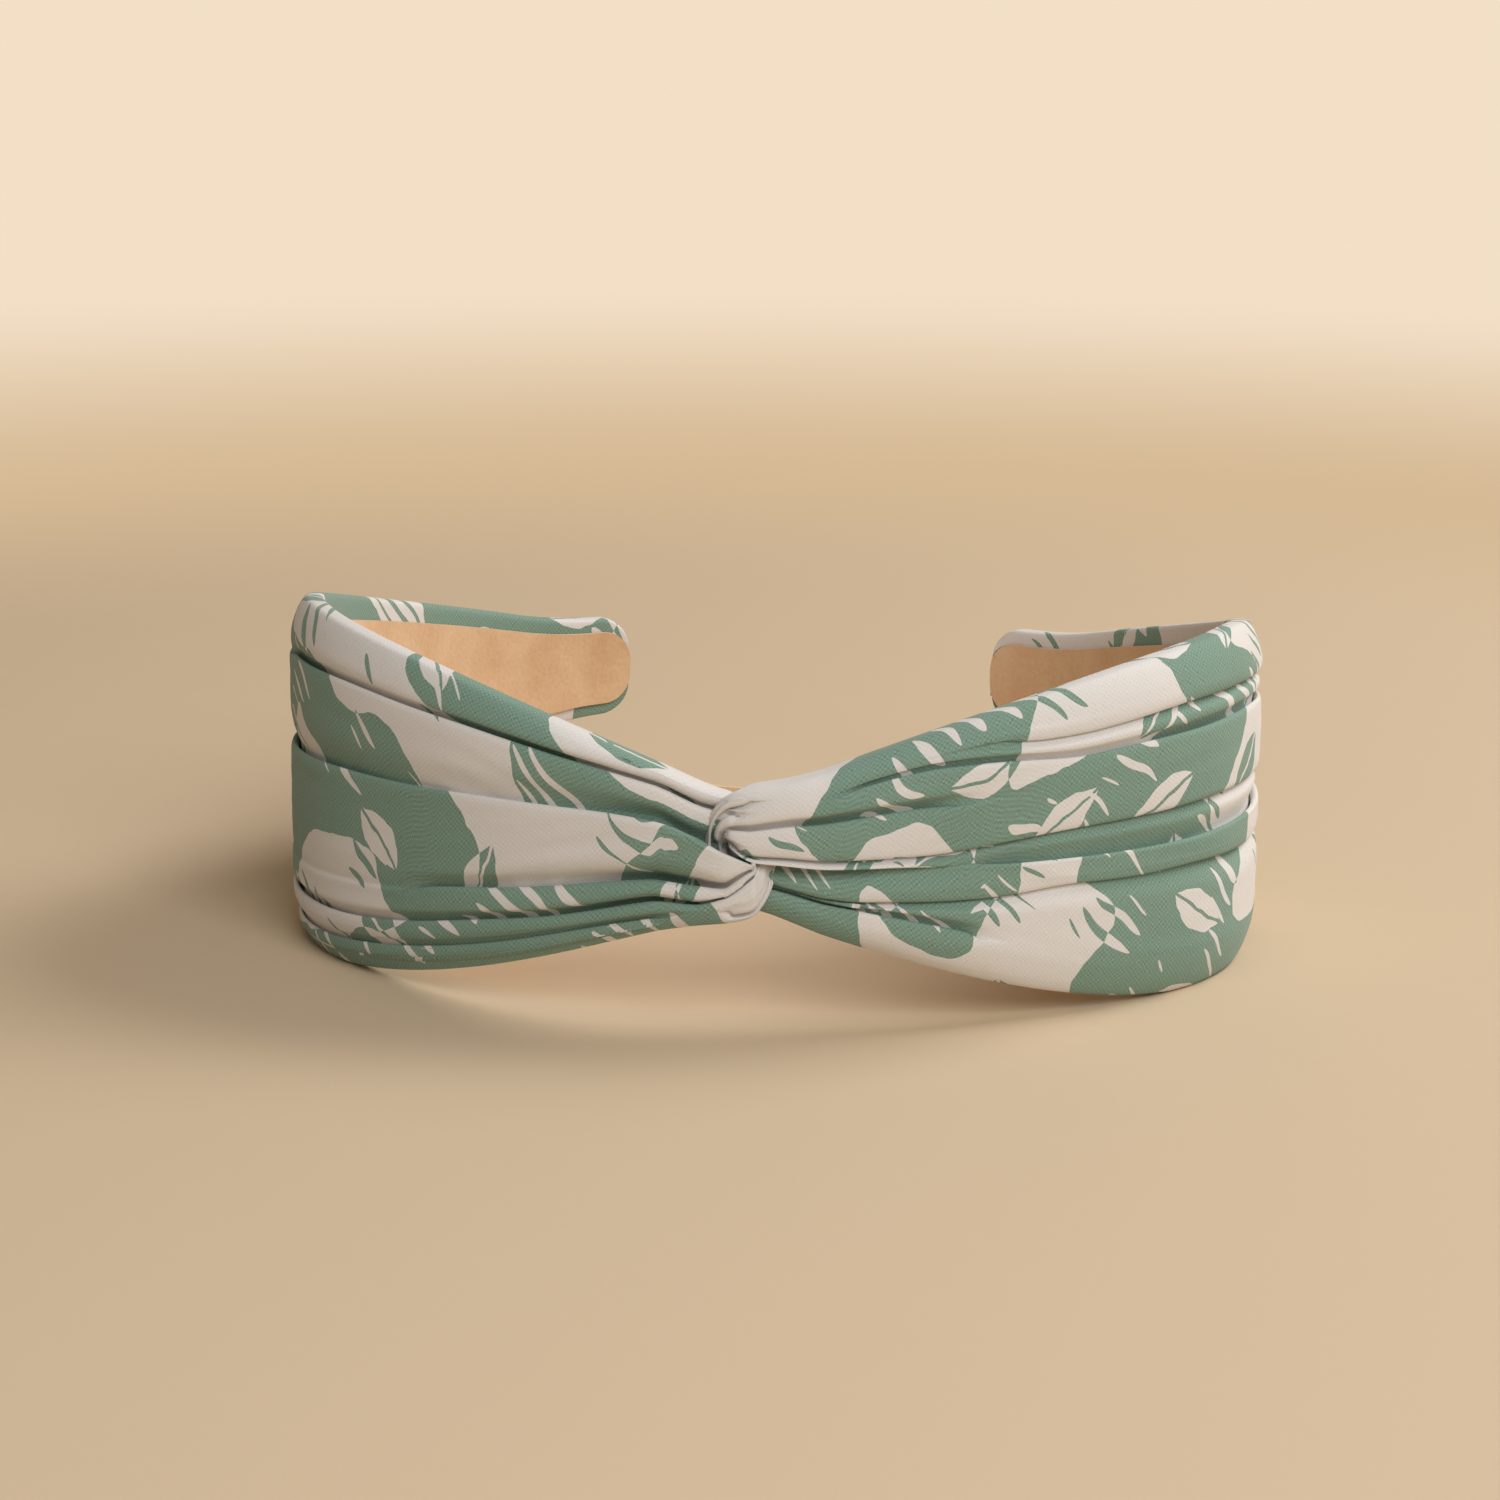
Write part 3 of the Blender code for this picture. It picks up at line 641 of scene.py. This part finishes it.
right_cloth = cloth(
    "right_cloth", RIGHT, seed=3.0,
    inner_edge=(
        (-13.0, -6.0, 0.9), (-9.0, -2.2, 0.6), (-6.5, 0.0, -0.3), (-4.0, 1.3, -1.2), (-2.0, 1.5, -1.4),
        (0.0, 1.5, -0.9), (2.0, 1.2, -0.3), (4.5, 0.6, 0.3), (7.5, -0.8, 0.5), (10.5, -3.0, 0.7),
        (13.5, -6.0, 0.9),
    ),
    inner_heights=((12.0, -0.12), (22.0, -0.10), (51.0, -0.085), (178.0, -0.06)),
    seats=(
        (-70.0, 2.0), (-32.0, 2.3), (-19.0, 3.1), (-13.0, 3.7), (-9.0, 3.8), (-5.5, 3.4), (-3.0, 2.8),
        (-1.0, 2.0), (1.2, 1.2), (4.0, 1.1), (13.0, 1.2), (19.0, 1.8), (28.0, 2.3), (70.0, 2.0),
    ),
    creases=(
        dict(facing=1, notch=EDGE_NOTCH,
             shares=((-178.0, 0.25), (-58.0, 0.25), (-30.0, 0.14), (-10.0, 0.14), (0.0, 0.2), (12.0, 0.14),
                     (178.0, 0.14)),
             strengths=((-178.0, 0.2), (-110.0, 0.8), (-62.0, 1.0), (-50.0, 0.7), (-28.0, 0.0), (-12.0, 0.0),
                        (-7.0, 0.7), (2.0, 0.7), (6.0, 0.0))),
        dict(facing=-1, turns=2.0, notch=EDGE_NOTCH,
             shares=((-178.0, 0.45), (-58.0, 0.434), (-29.0, 0.25), (-15.0, 0.25), (0.0, 0.43), (15.0, 0.43),
                     (29.0, 0.42), (58.0, 0.33), (178.0, 0.33)),
             strengths=((-178.0, 0.0), (-110.0, 0.8), (-30.0, 1.0), (-15.0, 0.0), (-9.0, 0.0), (-5.0, 0.75),
                        (-1.0, 0.75), (1.8, 0.0), (6.0, 0.0), (13.0, 1.0), (34.0, 1.0), (46.0, 0.0))),
        dict(facing=-1, notch=EDGE_NOTCH,
             shares=((-178.0, 0.62), (-29.0, 0.55), (-15.0, 0.55), (-6.0, 0.64), (0.0, 0.68), (15.0, 0.6),
                     (29.0, 0.67), (58.0, 0.84), (178.0, 0.84)),
             strengths=((-178.0, 0.0), (-50.0, 0.0), (-28.0, 0.8), (-8.0, 0.9), (0.0, 0.0), (8.0, 0.0),
                        (16.0, 0.9), (100.0, 0.8), (178.0, 0.1))),
        dict(facing=1, notch=EDGE_NOTCH,
             shares=((-178.0, 0.8), (-58.0, 0.8), (-29.0, 0.88), (-12.0, 0.86), (0.0, 0.86), (20.0, 0.9),
                     (178.0, 0.93)),
             strengths=((-178.0, 0.2), (-110.0, 0.9), (-9.0, 1.0), (-3.0, 0.0))),
    ),
    folded_edge=((-46.0, 0.0), (-28.0, 1.0), (-8.5, 1.0), (-4.0, 0.3), (2.0, 0.0), (28.0, 0.0), (46.0, 1.0)),
)

SAGE = "#7e9a8b"
SAGE_DEEP = "#749081"
IVORY = "#e2deda"
THREAD_SPACING = 0.38
THREAD_HEIGHT = 0.1
THREAD_DRIFT = 0.6
# Painted shade in the dips of the weave, on bare and inked cloth, and a painted highlight on inked thread
# crowns, as shares of the colour
BARE_PAINTED_SHADE = 0.14
INK_PAINTED_SHADE = 0.32
INK_PAINTED_HIGHLIGHT = 0.28
SLUB_SIZE = 0.9
SLUB_REACH = 0.2
SLUB_SHARPNESS = 3.0
NOISE_MIDDLE = 0.5
CREPE_SIZE = 1.6
CREPE_HEIGHT = 0.08
PATCH_SIZE = 30.0
PATCH_CUT = 0.475
WANDER_SIZE = 6.0
WANDER = 2.4
LEAF_SPACING = 17.0
LEAF_LENGTH = 12.5
LEAF_WIDTH = 5.5
LEAF_SHARE = 0.55
VEIN_WIDTH = 0.5
WAVE_PERIOD = math.pi / 10
STROKE_SPACING = 2.4
STROKE_SHARE = 0.7
STROKE_PATCH = 16.0
STROKE_CUT = 0.57
STROKE_TAPER = 0.08


def printed_poplin():
    """Plain-woven cotton with a two-tone print of loose patches, single leaves and groups of strokes.

    The eye sees matt cloth with a faint fuzz, crisp print edges and a grain of small light and dark dots:
    painted shade where the threads dip, and on the ink a painted highlight on their crowns.
    """
    poplin, shader = new_material("printed_poplin")
    flat = add_node(poplin, "UVMap", {}, uv_map="flat")
    spot = add_node(poplin, "VectorMath", {0: flat.outputs["UV"], "Scale": 1 / MM}, operation="SCALE")
    spot = spot.outputs["Vector"]

    # Outlines wander as if cut by hand
    wander = add_node(poplin, "TexNoise", {"Vector": spot, "Scale": 1 / WANDER_SIZE, "Detail": 2.0})
    centred = add_node(poplin, "VectorMath", {
        0: wander.outputs["Color"], 1: (NOISE_MIDDLE, NOISE_MIDDLE, NOISE_MIDDLE),
    }, operation="SUBTRACT")
    drawn = add_node(poplin, "VectorMath", {
        0: centred.outputs["Vector"], 1: (WANDER, WANDER, 0.0), 2: spot,
    }, operation="MULTIPLY_ADD")
    drawn = drawn.outputs["Vector"]

    patches = add_node(poplin, "TexNoise", {
        "Vector": drawn, "Scale": 1 / PATCH_SIZE, "Detail": 1.0, "Roughness": 0.4,
    })
    patch = add_node(poplin, "Math", {0: patches.outputs["Fac"], 1: PATCH_CUT}, operation="GREATER_THAN")

    # Leaves, each turned its own way, with a bare midrib
    cells = add_node(poplin, "TexVoronoi", {
        "Vector": drawn, "Scale": 1 / LEAF_SPACING, "Randomness": 0.4,
    }, voronoi_dimensions="2D")
    chance = add_node(poplin, "SeparateColor", {"Color": cells.outputs["Color"]})
    turn = add_node(poplin, "Math", {0: chance.outputs["Red"], 1: 2 * math.pi}, operation="MULTIPLY")
    from_stem = add_node(poplin, "VectorMath", {0: drawn, 1: cells.outputs["Position"]}, operation="SUBTRACT")
    leaf_place = add_node(poplin, "VectorRotate", {
        "Vector": from_stem.outputs["Vector"], "Angle": turn.outputs["Value"],
    }, rotation_type="Z_AXIS")
    leaf_place = add_node(poplin, "SeparateXYZ", {"Vector": leaf_place.outputs["Vector"]})
    reach = add_node(poplin, "Math", {0: leaf_place.outputs["X"], 1: LEAF_LENGTH / 2}, operation="DIVIDE")
    taper = add_node(poplin, "Math", {0: reach.outputs["Value"], 1: 2.0}, operation="POWER")
    off_rib = add_node(poplin, "Math", {0: leaf_place.outputs["Y"]}, operation="ABSOLUTE")
    breadth = add_node(poplin, "Math", {0: off_rib.outputs["Value"], 1: LEAF_WIDTH / 2}, operation="DIVIDE")
    outline = add_node(poplin, "Math", {
        0: taper.outputs["Value"], 1: breadth.outputs["Value"],
    }, operation="ADD")
    blade = add_node(poplin, "Math", {0: outline.outputs["Value"], 1: 1.0}, operation="LESS_THAN")
    off_vein = add_node(poplin, "Math", {
        0: off_rib.outputs["Value"], 1: VEIN_WIDTH / 2,
    }, operation="GREATER_THAN")
    grown = add_node(poplin, "Math", {0: chance.outputs["Green"], 1: LEAF_SHARE}, operation="GREATER_THAN")
    ribbed = add_node(poplin, "Math", {
        0: blade.outputs["Value"], 1: off_vein.outputs["Value"],
    }, operation="MULTIPLY")
    leaf = add_node(poplin, "Math", {
        0: ribbed.outputs["Value"], 1: grown.outputs["Value"],
    }, operation="MULTIPLY")

    # Groups of thin strokes, side by side: the wave texture repeats once in its own period
    strokes = add_node(poplin, "TexWave", {
        "Vector": spot, "Scale": WAVE_PERIOD / STROKE_SPACING,
        "Distortion": 7.0, "Detail": 1.0, "Detail Scale": 0.6,
    }, bands_direction="DIAGONAL")
    groups = add_node(poplin, "TexNoise", {"Vector": spot, "Scale": 1 / STROKE_PATCH, "Detail": 1.0})
    thinned = add_node(poplin, "MapRange", {
        "Value": groups.outputs["Fac"], "From Min": STROKE_CUT, "From Max": STROKE_CUT + STROKE_TAPER,
        "To Min": 1.0, "To Max": STROKE_SHARE,
    })
    stroke = add_node(poplin, "Math", {
        0: strokes.outputs["Fac"], 1: thinned.outputs["Result"],
    }, operation="GREATER_THAN")

    # Leaves and strokes show light on a patch and dark beside it
    motif = add_node(poplin, "Math", {
        0: leaf.outputs["Value"], 1: stroke.outputs["Value"],
    }, operation="MAXIMUM")
    either = add_node(poplin, "Math", {
        0: patch.outputs["Value"], 1: motif.outputs["Value"],
    }, operation="SUBTRACT")
    ink = add_node(poplin, "Math", {0: either.outputs["Value"]}, operation="ABSOLUTE")
    sage = add_node(poplin, "MixRGB", {
        "Fac": groups.outputs["Fac"], "Color1": linear(SAGE_DEEP), "Color2": linear(SAGE),
    })
    printed = add_node(poplin, "MixRGB", {
        "Fac": ink.outputs["Value"], "Color1": linear(IVORY), "Color2": sage.outputs["Color"],
    })

    # Plain weave: threads pass over and under in turn, not quite evenly, and the colour carries painted shade
    # in their dips. It is drawn coarser than the real one, because that is too fine to show.
    crepe = add_node(poplin, "TexNoise", {"Vector": spot, "Scale": 1 / CREPE_SIZE, "Detail": 2.0})
    drifted = add_node(poplin, "VectorMath", {
        0: crepe.outputs["Color"], 1: (THREAD_DRIFT, THREAD_DRIFT, 0.0), 2: spot,
    }, operation="MULTIPLY_ADD")
    threads = add_node(poplin, "VectorMath", {
        0: drifted.outputs["Vector"], "Scale": math.pi / THREAD_SPACING,
    }, operation="SCALE")
    waves = add_node(poplin, "VectorMath", {0: threads.outputs["Vector"]}, operation="SINE")
    waves = add_node(poplin, "SeparateXYZ", {"Vector": waves.outputs["Vector"]})
    even = add_node(poplin, "Math", {0: waves.outputs["X"], 1: waves.outputs["Y"]}, operation="MULTIPLY")
    slubs = add_node(poplin, "TexNoise", {"Vector": spot, "Scale": 1 / SLUB_SIZE, "Detail": 1.0})
    thick = add_node(poplin, "Math", {0: slubs.outputs["Fac"], 1: SLUB_SHARPNESS}, operation="POWER")
    weave = add_node(poplin, "Math", {
        0: even.outputs["Value"], 1: thick.outputs["Value"],
    }, operation="MULTIPLY")
    # The colour is darkened where the threads dip, as painted shade, and the ink is lightened on their
    # crowns, as a painted highlight, in step with the bump of the weave
    under = add_node(poplin, "MapRange", {
        "Value": ink.outputs["Value"], "To Min": 1.0 - BARE_PAINTED_SHADE, "To Max": 1.0 - INK_PAINTED_SHADE,
    })
    over = add_node(poplin, "MapRange", {
        "Value": ink.outputs["Value"], "To Min": 1.0, "To Max": 1.0 + INK_PAINTED_HIGHLIGHT,
    })
    shade = add_node(poplin, "MapRange", {
        "Value": weave.outputs["Value"], "From Min": -SLUB_REACH, "From Max": SLUB_REACH,
        "To Min": under.outputs["Result"], "To Max": over.outputs["Result"],
    })
    woven = add_node(poplin, "MixRGB", {
        "Fac": 1.0, "Color1": printed.outputs["Color"], "Color2": shade.outputs["Result"],
    }, blend_type="MULTIPLY")
    pucker = add_node(poplin, "Bump", {
        "Height": crepe.outputs["Fac"], "Distance": CREPE_HEIGHT * MM, "Strength": 0.6,
    })
    grain = add_node(poplin, "Bump", {
        "Height": weave.outputs["Value"], "Distance": THREAD_HEIGHT * MM, "Strength": 0.5,
        "Normal": pucker.outputs["Normal"],
    })
    set_inputs(poplin, shader, {
        "Base Color": woven.outputs["Color"], "Normal": grain.outputs["Normal"],
        "Roughness": 0.8, "IOR": 1.45, "Sheen Weight": 0.12, "Sheen Roughness": 0.5,
    })
    return poplin


poplin = printed_poplin()
for piece in (left_cloth, right_cloth):
    piece.data.materials.append(poplin)


# Lining
# One strip of tan suede-like microfibre on the inside, glued from tip to tip over the cloth's turned edges.
# It is modelled as two halves that meet at the crown.
LINING_FACE = -1.6
LINING_THICKNESS = 0.7
LINING_MARGINS = ((0.0, 1.5), (RISE_LENGTH, 4.5), (RISE_LENGTH + SIDE_LENGTH, 4.5), (ARM_LENGTH, 2.0))
NAP_PATCH = 9.0
NAP_FIBRE = 0.7
NAP_HEIGHT = 0.12
NAP_FIBRE_SHARE = 0.4
NAP_DARK = 0.45
NAP_LIGHT = 0.95
SUEDE_TAN = "#dfbd97"
SUEDE_SHADE = "#cfa67c"
SUEDE_SHEEN = "#f0dcc0"


def suede():
    """Brushed microfibre: a matt tan, clouded where the nap lies another way, with a soft bright edge."""
    nap, shader = new_material("brushed_microfibre")
    spot = add_node(nap, "TexCoord", {})
    clouds = add_node(nap, "TexNoise", {
        "Vector": spot.outputs["Object"], "Scale": 1 / (NAP_PATCH * MM), "Detail": 3.0, "Distortion": 0.6,
    })
    fibres = add_node(nap, "TexNoise", {
        "Vector": spot.outputs["Object"], "Scale": 1 / (NAP_FIBRE * MM), "Detail": 2.0,
    })
    mottled = add_node(nap, "Math", {
        0: fibres.outputs["Fac"], 1: NAP_FIBRE_SHARE, 2: clouds.outputs["Fac"],
    }, operation="MULTIPLY_ADD")
    lay = add_node(nap, "MapRange", {
        "Value": mottled.outputs["Value"], "From Min": NAP_DARK, "From Max": NAP_LIGHT,
    })
    tan = add_node(nap, "MixRGB", {
        "Fac": lay.outputs["Result"], "Color1": linear(SUEDE_SHADE), "Color2": linear(SUEDE_TAN),
    })
    fuzz = add_node(nap, "Bump", {
        "Height": fibres.outputs["Fac"], "Distance": NAP_HEIGHT * MM, "Strength": 0.7,
    })
    set_inputs(nap, shader, {
        "Base Color": tan.outputs["Color"], "Normal": fuzz.outputs["Normal"],
        "Roughness": 0.95, "Sheen Weight": 0.35, "Sheen Roughness": 0.55, "Sheen Tint": linear(SUEDE_SHEEN),
    })
    return nap


microfibre = suede()
for side in (LEFT, RIGHT):
    lining = strip(SIDE_NAMES[side] + "_lining", side, 0.0, ARM_LENGTH, LINING_FACE, LINING_MARGINS)
    thicken(lining, LINING_THICKNESS)
    lining.data.materials.append(microfibre)
    bend_with_arm(lining, side)
    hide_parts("lining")


# Floor
# A plain sheet of beige card that runs flat under the band and sweeps up behind it. Uncoated card is matt:
# the eye sees an even tone and soft shadows, with no shine. Its sizes are in metres.
FLOOR_FRONT = -2.0
FLOOR_BACK = 0.66
SWEEP_RADIUS = 0.35
SWEEP_POINTS = 24
WALL_TOP = 2.2
FLOOR_HALF_WIDTH = 3.0
FLOOR_DROP = 0.0002
FLOOR_BEIGE = "#d1bb9d"
FAR_BEIGE = "#d6ba95"
FAR_CREAM = "#f2dfc6"
EVEN_FROM = 0.24
EVEN_TO = 0.42
CREAM_FROM = 0.38
CREAM_TO = 0.72

bend = np.linspace(0.0, math.pi / 2, SWEEP_POINTS)
wall = FLOOR_BACK + SWEEP_RADIUS
sweep_y = np.concatenate([[FLOOR_FRONT], FLOOR_BACK + SWEEP_RADIUS * np.sin(bend), [wall]])
sweep_z = np.concatenate([[0.0], SWEEP_RADIUS * (1 - np.cos(bend)), [WALL_TOP]]) - FLOOR_DROP
sweep_x = np.array([-FLOOR_HALF_WIDTH, FLOOR_HALF_WIDTH])[:, None]
backdrop = shaped_grid("backdrop", np.stack(np.broadcast_arrays(sweep_x, sweep_y, sweep_z), axis=-1))
card, card_shader = new_material("beige_card")
set_inputs(card, card_shader, {"Base Color": linear(FLOOR_BEIGE), "Roughness": 0.9})

# Far from the band, where the lamps no longer reach, the card is seen in an even tone that fades to cream
card_place = add_node(card, "TexCoord", {})
away = add_node(card, "VectorMath", {0: card_place.outputs["Object"]}, operation="LENGTH")
even_share = add_node(card, "MapRange", {
    "Value": away.outputs["Value"], "From Min": EVEN_FROM, "From Max": EVEN_TO,
}, interpolation_type="SMOOTHSTEP")
cream_share = add_node(card, "MapRange", {
    "Value": away.outputs["Value"], "From Min": CREAM_FROM, "From Max": CREAM_TO,
}, interpolation_type="SMOOTHSTEP")
far_colour = add_node(card, "MixRGB", {
    "Fac": cream_share.outputs["Result"], "Color1": linear(FAR_BEIGE), "Color2": linear(FAR_CREAM),
})
ray = add_node(card, "LightPath", {})
mirrored = add_node(card, "Math", {
    0: ray.outputs["Is Glossy Ray"], 1: ray.outputs["Is Transmission Ray"],
}, operation="MAXIMUM")
seen = add_node(card, "Math", {
    0: ray.outputs["Is Camera Ray"], 1: mirrored.outputs["Value"],
}, operation="MAXIMUM")
even_seen = add_node(card, "Math", {
    0: even_share.outputs["Result"], 1: seen.outputs["Value"],
}, operation="MULTIPLY")
even_tone = add_node(card, "Emission", {"Color": far_colour.outputs["Color"]})
seen_card = add_node(card, "MixShader", {
    "Fac": even_seen.outputs["Value"], 1: card_shader.outputs["BSDF"], 2: even_tone.outputs["Emission"],
})
set_inputs(card, card.node_tree.nodes["Material Output"], {"Surface": seen_card.outputs["Shader"]})
backdrop.data.materials.append(card)


# Light
# A large soft window light from behind on the right, another soft light from the front and an even pale
# surround. Places and sizes are in metres, and powers in watts.
WINDOW_PLACE = (0.75, 0.4, 0.8)
WINDOW_SIZE = 0.6
WINDOW_POWER = 8.5
FRONT_PLACE = (0.45, -0.95, 0.8)
FRONT_SIZE = 0.7
FRONT_POWER = 9.4
LIGHT_AIM = (0.0, 0.0, 0.02)
SURROUND_WHITE = "#f9efe2"
SURROUND_LEVEL = 0.25


def soft_light(name, location, size, power):
    """A square area light that points at the band."""
    lamp = bpy.data.lights.new(name, "AREA")
    lamp.size = size
    lamp.energy = power
    holder = bpy.data.objects.new(name, lamp)
    holder.location = location
    holder.rotation_mode = "QUATERNION"
    holder.rotation_quaternion = (Vector(LIGHT_AIM) - Vector(location)).to_track_quat("-Z", "Y")
    bpy.context.scene.collection.objects.link(holder)


soft_light("window_light", WINDOW_PLACE, WINDOW_SIZE, WINDOW_POWER)
soft_light("front_light", FRONT_PLACE, FRONT_SIZE, FRONT_POWER)
surround = bpy.data.worlds.new("studio")
surround.use_nodes = True
air = surround.node_tree.nodes["Background"]
set_inputs(surround, air, {"Color": linear(SURROUND_WHITE), "Strength": SURROUND_LEVEL})
behind = add_node(surround, "Background", {"Color": linear(FAR_CREAM)})
world_ray = add_node(surround, "LightPath", {})
seen_world = add_node(surround, "MixShader", {
    "Fac": world_ray.outputs["Is Camera Ray"], 1: air.outputs["Background"], 2: behind.outputs["Background"],
})
set_inputs(surround, surround.node_tree.nodes["World Output"], {"Surface": seen_world.outputs["Shader"]})
bpy.context.scene.world = surround


# Camera
# A long lens, a little above the band and a little to the right of its middle, as in the photograph.
# Its angles, distance and focal length come from a fit of the band's plan to the photographed edges.
VIEW_AZIMUTH = math.radians(5.054)
VIEW_ELEVATION = math.radians(13.9)
VIEW_ROLL = math.radians(0.6)
VIEW_DISTANCE = 0.7107
FOCAL_PIXELS = 4624.4
PHOTO_PIXELS = 1500.0
AIM_PIXEL = (773.3, 766.0)
NEAR_CLIP = 0.01

lens = bpy.data.cameras.new("camera")
lens.lens = FOCAL_PIXELS / PHOTO_PIXELS * lens.sensor_width
lens.shift_x = 0.5 - AIM_PIXEL[0] / PHOTO_PIXELS
lens.shift_y = AIM_PIXEL[1] / PHOTO_PIXELS - 0.5
lens.clip_start = NEAR_CLIP
camera = bpy.data.objects.new("camera", lens)
towards_camera = Vector((
    math.sin(VIEW_AZIMUTH) * math.cos(VIEW_ELEVATION),
    -math.cos(VIEW_AZIMUTH) * math.cos(VIEW_ELEVATION),
    math.sin(VIEW_ELEVATION),
))
camera.location = Vector((0.0, BAND_SHIFT, MIDDLE_HEIGHT)) * MM + towards_camera * VIEW_DISTANCE
camera.rotation_mode = "QUATERNION"
level_view = (-towards_camera).to_track_quat("-Z", "Y")
camera.rotation_quaternion = level_view @ Quaternion((0.0, 0.0, 1.0), VIEW_ROLL)
bpy.context.scene.collection.objects.link(camera)
bpy.context.scene.camera = camera
bpy.context.scene.view_settings.view_transform = "Standard"

bpy.context.view_layer.update()
